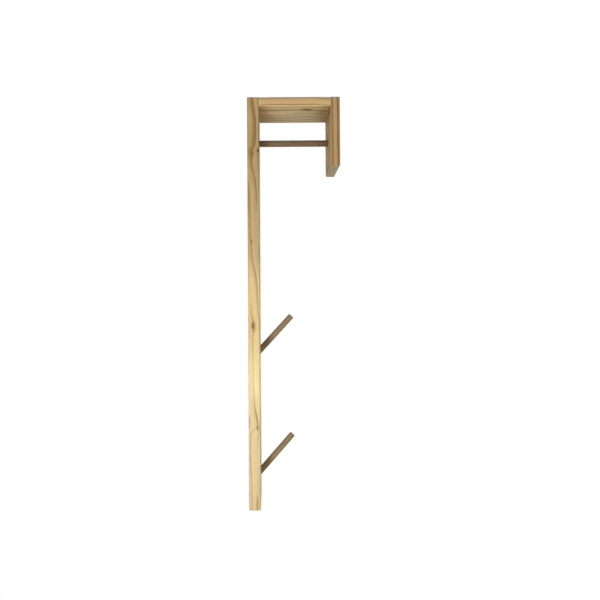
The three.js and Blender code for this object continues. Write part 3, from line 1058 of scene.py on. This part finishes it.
def zinc_material():
    """Bright zinc plating: drawn lines along the strip, a few dull patches and fine pits."""
    g = Surface("bright zinc steel")
    place = g.place_mm()
    drawn = g.noise(g.vector("MULTIPLY", place, (5.0, 5.0, 0.12)), detail=2, seed=4.0)
    patch = g.noise(g.scaled(place, 0.35), detail=3, seed=5.0)
    pit = g.span(g.noise(g.scaled(place, 1.7), detail=2, seed=6.0), 0.66, 0.74)
    colour = g.mix(g.span(patch, 0.35, 0.7), *ZINC_TONES)
    colour = g.mix(g.times(pit, 0.4), colour, ZINC_PIT_TONE)
    rough = g.add(g.span(patch, 0.3, 0.7, 0.36, 0.50), g.times(g.minus(drawn, 0.5), 0.2))
    height = g.minus(g.times(drawn, 0.006 * MM), g.times(pit, 0.012 * MM))
    g.shader.inputs["Metallic"].default_value = 1.0
    return g.finish(colour, rough, height, 0.5)


# What each board looks like


def wall_board_pine():
    """Fast grown pine that turns from tan heartwood at the top to pale sapwood below."""
    cut = Cut(
        axes="xyz",
        pith=(10, 55),
        spacing=11.0,
        first_ring=105.6,
        wander=[
            (-500, 18.5), (-400, 17.5), (-337, 16.7), (-318, 17.6), (-306, 21.5), (-298, 26.0), (-285, 26.8),
            (-260, 23.3), (-200, 21.6), (-120, 21.0), (-52, 20.4), (-20, 18.6), (16, 17.5), (46, 16.5),
            (82, 13.0), (116, 9.4), (178, 6.8), (225, 6.0), (262, 5.8), (294, 4.3), (318, 1.6), (345, -1.4),
            (368, -0.8), (386, 3.8), (420, 5.2), (458, 3.8), (478, 1.8), (500, 0.2),
        ],
        drift=[(-500, 29.5), (-337, 27.7), (-120, 21.0), (46, 16.5), (178, 6.9), (320, 2.0), (500, 3.0)],
        seed=2.0,
        false_rings=4.0,
        # Dark arrises: handling dirt, and on the front also painted shade
        arris=rgb(103, 87, 62),
        arris_share=(0.85, 0.60),
    )
    knots = [
        Knot(-70, -27.6, 370.8, 1.9, 1.8, 1.0, 1.5, halo=0.8),
        Knot(-70, -16.8, 446.7, 1.5, 1.6, 0.0, 1.5, halo=0.15, soft=0.4),
        Knot(-70, -12.1, 362.0, 1.9, 2.0, 0.10, 1.5, halo=0.5, soft=0.7),
        Knot(-70, -9.8, 150.2, 1.1, 2.6, 0.30, 1.2, halo=0.5, soft=0.7),
        Knot(-70, -11.8, -53.0, 2.4, 3.0, 0.10, 2.6, slant=-0.05, halo=0.7, soft=0.5),
        Knot(-70, -19.6, -276.0, 1.3, 12.0, 0.12, 1.0, slant=-0.13, halo=0.30, soft=0.7, seen=0.55),
        Knot(-70, -22.4, -301.0, 1.6, 3.2, 0.22, 1.0, halo=0.4, soft=0.6, seen=0.62),
        Knot(-70, -20.4, -484.0, 1.2, 12.0, 0.05, 0.6, halo=0.4, soft=0.7, seen=0.6),
        Knot(-70, 3.5, 425.0, 3.5, 12.0, 0.0, -5.0, halo=0.0, seen=0.0),
        Knot(-70, -23.0, 172.0, 2.6, 14.0, 0.0, 0.0, halo=-1.0, seen=0.0),
        Knot(-70, -4.5, 28.0, 2.8, 12.0, 0.0, 0.0, halo=-0.9, seen=0.0),
        Knot(-70, -21.0, -385.0, 2.4, 14.0, 0.0, 0.0, halo=-0.55, seen=0.0),
        Knot(22, -28.5, 214.0, 8.5, 1.25, 0.5, 9.0),
        Knot(-18, -28.5, -182.0, 6.5, 1.3, 0.3, 7.0),
        Knot(38, -28.5, -396.0, 5.0, 1.35, 0.7, 5.0),
    ]
    tones = [
        (-500, rgb(230, 206, 160), rgb(208, 176, 126), 0.20),
        (-330, rgb(235, 213, 162), rgb(212, 182, 130), 0.20),
        (-170, rgb(250, 230, 173), rgb(234, 209, 152), 0.20),
        (-60, rgb(238, 212, 156), rgb(208, 174, 116), 0.22),
        (20, rgb(238, 213, 159), rgb(190, 156, 101), 0.28),
        (130, rgb(212, 186, 134), rgb(172, 142, 90), 0.22),
        (240, rgb(200, 174, 122), rgb(158, 128, 77), 0.22),
        (340, rgb(193, 166, 117), rgb(162, 132, 84), 0.26),
        (400, rgb(189, 160, 112), rgb(147, 117, 72), 0.55),
        (460, rgb(194, 164, 114), rgb(147, 117, 72), 0.46),
        (500, rgb(196, 166, 115), rgb(148, 118, 73), 0.34),
    ]
    return Pine("pine wall board", "wall_board", cut, knots, tones).material()


def arm_pine():
    """Flat sawn pine with oil on its near edge, and a painted highlight on its arrises. Its underside has no
    oil: it is paler and cooler, partly as unoiled wood and partly as painted light in its shade, has painted
    shade at its ends and far side, and shows ring lines round one small knot.
    """
    cut = Cut(
        axes="xzy",
        pith=(-56, 403),
        spacing=15.65,
        first_ring=79.9,
        wander=[
            (-201.7, -2.2), (-186, -1.2), (-168, 0.2), (-140, 0.5), (-100, 0.2), (-60, 0.2), (-46, -0.4),
            (-28.8, -1.4),
        ],
        drift=[(-201.7, 2.5), (-150, -3.0), (-90, 0.5), (-28.8, -3.5)],
        seed=7.0,
        false_rings=5.0,
        # The arm's arrises carry a painted highlight
        arris=PAINTED_ARRIS_HIGHLIGHT,
        arris_share=(1.0, 0.62),
        bare_and_shaded_side=-1,
        corners=(-201.7, -28.8),
        heart=RED_KNOT_TONE,
    )
    knots = [
        Knot(-40, 478, -146.3, 4.2, 1.8, 0.2, 2.5, halo=1.4, soft=0.35),
        Knot(12, 478, -150.0, 9.0, 1.5, 0.0, -5.0, halo=0.0, seen=0.0),
        Knot(-14, 478, -186.0, 7.0, 1.6, 0.0, 4.0, halo=0.55, seen=0.0),
    ]
    tones = [
        (-201.7, rgb(212, 179, 127), rgb(146, 113, 65), 0.11),
        (-28.8, rgb(214, 181, 129), rgb(146, 113, 65), 0.11),
    ]
    return Pine("pine arm", "top_arm", cut, knots, tones).material()


def drop_pine():
    """Pine with dark rings down the near edge and greyer end grain at its foot. Its face towards the wall
    has no oil: it is paler and cooler, partly as unoiled wood and partly as painted light in its shade, and
    has painted shade at its far side and under the arm.
    """
    cut = Cut(
        axes="xyz",
        pith=(20, -145),
        spacing=8.2,
        first_ring=109.5,
        wander=[(333.5, 0.9), (380, 0.4), (440, 0.1), (484, -0.1), (500, -1.2)],
        drift=[(333.5, -1.0), (420, 2.0), (500, 0.0)],
        seed=11.0,
        false_rings=4.0,
        arris_share=(0.50, 0.25),
        bare_and_shaded_side=1,
        corners=(478,),
        ends=(GREY_END_GRAIN, WARM_END_GRAIN),
    )
    knots = [Knot(30, -225, 432.0, 4.5, 1.3, 0.35, 5.0)]
    tones = [
        (333.5, rgb(193, 161, 113), rgb(118, 87, 42), 0.30),
        (500, rgb(193, 161, 112), rgb(118, 87, 42), 0.30),
    ]
    return Pine("pine drop", "front_drop", cut, knots, tones).material()


# The stage


def make_camera():
    """Level along +X at the photograph's place, with its small roll: image right is -Y."""
    roll = math.radians(CAMERA_ROLL_DEGREES)
    right = Vector((0, -math.cos(roll), -math.sin(roll)))
    upwards = Vector((0, -math.sin(roll), math.cos(roll)))
    turn = Matrix((right, upwards, right.cross(upwards))).transposed()
    data = bpy.data.cameras.new("camera")
    data.lens = CAMERA_LENS_MM
    data.sensor_width = SENSOR_MM
    data.shift_x = CAMERA_SHIFT_X
    data.clip_start, data.clip_end = CAMERA_CLIP
    camera = bpy.data.objects.new("camera", data)
    camera.matrix_world = Matrix.Translation(Vector(CAMERA_PLACE)) @ turn.to_4x4()
    bpy.context.scene.collection.objects.link(camera)
    bpy.context.scene.camera = camera


def make_lights():
    """The key and right soft boxes stand on either side of the camera, which leaves both ends of the rail
    and the roots of the pegs in shade. The low one lights the arm's underside, the one behind the drop's
    inner face, and the others the sides that the photograph doesn't show."""
    for name, place, width, height, level in LAMPS:
        data = bpy.data.lights.new(name, "AREA")
        data.shape = "RECTANGLE"
        data.size = width
        data.size_y = height
        away = Vector(place) - Vector(LAMP_AIM)
        data.energy = level * math.pi**2 * away.length_squared
        lamp = bpy.data.objects.new(name, data)
        turn = away.to_track_quat("Z", "Y").to_matrix().to_4x4()
        lamp.matrix_world = Matrix.Translation(Vector(place)) @ turn
        bpy.context.scene.collection.objects.link(lamp)


def make_world():
    """White to the camera and in reflections, and a plain soft level on everything else."""
    world = bpy.data.worlds.new("studio")
    bpy.context.scene.world = world
    g = Graph(world)
    rays = g.node("LightPath").outputs
    seen = g.most(g.most(rays["Is Camera Ray"], rays["Is Glossy Ray"]), rays["Is Transmission Ray"])
    shader = g.mix_shaders(seen, g.glow("Background", AIR_LEVEL), g.glow("Background", 1.0))
    g.made("OutputWorld", (shader,))


def make_floor():
    """A pale floor well below the valet, which hangs on a wall. It keeps the valet's soft shadow, fades to
    white around it, and is clear from below."""
    half = FLOOR_SPAN / 2
    bm = bmesh.new()
    corners = [(-half, -half), (half, -half), (half, half), (-half, half)]
    bm.faces.new([bm.verts.new((x, y, FLOOR_HEIGHT)) for x, y in corners])
    floor = new_object("floor", bm)
    g = Surface("pale floor")
    plain = g.shader.outputs[0]
    g.fill(g.shader, FLOOR_LOOK)
    lit = g.made("AddShader", (plain, g.glow("Emission", FLOOR_GLOW))).outputs[0]
    flat = g.vector("MULTIPLY", g.node("TexCoord").outputs["Object"], (1, 1, 0))
    far = g.span(g.vector("LENGTH", flat), FLOOR_LIT_RADIUS, FLOOR_WHITE_RADIUS)
    shown = g.mix_shaders(far, lit, g.glow("Emission", 1.0))
    above = g.mix_shaders(g.node("LightPath").outputs["Is Camera Ray"], plain, shown)
    below = g.node("NewGeometry").outputs["Backfacing"]
    both = g.mix_shaders(below, above, g.node("BsdfTransparent").outputs[0])
    g.feed(g.output.inputs[0], both)
    coat(floor, g.owner)


# Putting it together


def coat(piece, material):
    """Gives a piece one material all over."""
    piece.data.materials.clear()
    piece.data.materials.append(material)


def dress(piece, node, material):
    """A piece that stands for a CAD node, on the valet's one body."""
    coat(piece, material)
    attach(piece, "root")
    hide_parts(node)


def make_boards():
    """The three boards, with the sockets, recesses and holes that their fittings need."""
    front_of_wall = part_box("wall_board")[0].y
    drop_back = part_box("front_drop")[1].y
    arm_low, arm_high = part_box("top_arm")

    wall = make_board("wall_board", 2, WALL_FOOT_MM, WALL_TOP_MM, 1.0)
    cutters = [socket(node, front_of_wall) for node in ("hanging_rail", "upper_peg", "lower_peg")]
    cutters += dowel_sockets("rear", front_of_wall, 1)
    cutters += plate_cutters("upper") + plate_cutters("lower")
    dress(carve(wall, cutters), "wall_board", wall_board_pine())

    arm = make_board("top_arm", 1, SQUARE_END_MM, SQUARE_END_MM, 2.0)
    cutters = dowel_sockets("rear", arm_high.y, -1) + dowel_sockets("front", arm_low.y, 1)
    dress(carve(arm, cutters), "top_arm", arm_pine())

    drop = make_board("front_drop", 2, DROP_FOOT_MM, DROP_TOP_MM, 3.0)
    cutters = [socket("hanging_rail", drop_back)] + dowel_sockets("front", drop_back, -1)
    dress(carve(drop, cutters), "front_drop", drop_pine())
    for board in (wall, arm, drop):
        flatten_normals(board)


def make_rods():
    """The rail, with painted shade at both ends, and the pegs, with painted shade at their roots."""
    # Painted shade at both ends of the rail and at the roots of the pegs
    rail = (RAIL_TIP_MM, RAIL_TONES, [(0.0, PAINTED_END_SHADE), (0.22, WHITE), (0.78, WHITE), (1.0, PAINTED_END_SHADE)])
    peg = (PEG_TIP_MM, PEG_TONES, [(0.0, PAINTED_END_SHADE), (0.32, PAINTED_END_SHADE), (0.55, WHITE), (1.0, WHITE)])
    rods = (("hanging_rail", rail), ("upper_peg", peg), ("lower_peg", peg))
    for index, (node, (tip_mm, tones, end_shade)) in enumerate(rods):
        material = walnut_material(f"walnut {node}", rod_of(node), *tones, end_shade, 10.0 * index)
        dress(make_rod(node, tip_mm), node, material)


def dress_hardware():
    """Beech on the dowel pins, zinc and stamped edges on the plates, and a threaded screw for each plain
    one. The pins and plates stay the CAD's own meshes."""
    beech, zinc = beech_material(), zinc_material()
    for name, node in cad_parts.items():
        if "_dowel_" in name:
            coat(node, beech)
        if name.endswith("_hanger_plate"):
            coat(node, zinc)
            weld = node.modifiers.new("one skin", "WELD")
            weld.merge_threshold = 0.002 * MM
            soften = node.modifiers.new("stamped edges", "BEVEL")
            soften.width = PLATE_EDGE_MM * MM
            soften.segments = 3
            soften.limit_method = "ANGLE"
            soften.angle_limit = math.radians(40)
        if name.endswith("_screw"):
            dress(make_screw(name), name, zinc)


bpy.context.scene.view_settings.view_transform = "Standard"
make_camera()
make_world()
make_lights()
make_floor()
make_boards()
make_rods()
dress_hardware()
